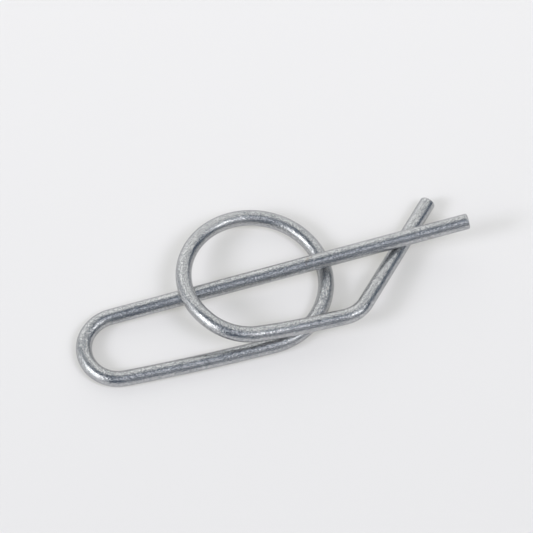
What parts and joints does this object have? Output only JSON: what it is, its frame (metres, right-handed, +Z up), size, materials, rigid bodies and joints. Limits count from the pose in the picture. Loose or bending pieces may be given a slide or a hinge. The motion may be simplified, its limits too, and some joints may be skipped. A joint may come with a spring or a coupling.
{
  "type": "hitch pin lock",
  "caption": "Locking clip bent from one round spring wire: a straight pin leg, an end loop, a finger ring acting as the spring, and a hooked latch under the pin leg.",
  "frame": {"origin": "middle of the clip's footprint, on the surface that it lies on", "axes": "+X along the pin leg towards its cut end, +Z up out of the clip's plane, the return leg and latch leg on the -Y side"},
  "size_m": [0.0814, 0.0314, 0.0091],
  "materials": {
    "zinc_wire": "zinc plated spring wire, fine mottled grain, satin"
  },
  "bodies": {
    "clip_wire": {"pin_leg": "zinc_wire", "end_loop": "zinc_wire", "return_leg": "zinc_wire", "ring_front": "zinc_wire", "ring_spring": "zinc_wire"},
    "latch": {"ring_end": "zinc_wire", "latch_leg": "zinc_wire", "hook_bend": "zinc_wire", "hook_leg": "zinc_wire"}
  },
  "joints": [
    {"name": "latch_swing", "type": "hinge", "parent": "clip_wire", "child": "latch", "pos_m": [-0.00297, 0.00004, 0.004], "axis": [0, 0, -1], "range_deg": [0, 22], "stiffness_Nm_per_rad": 9, "deforming": ["ring_spring"]}
  ]
}
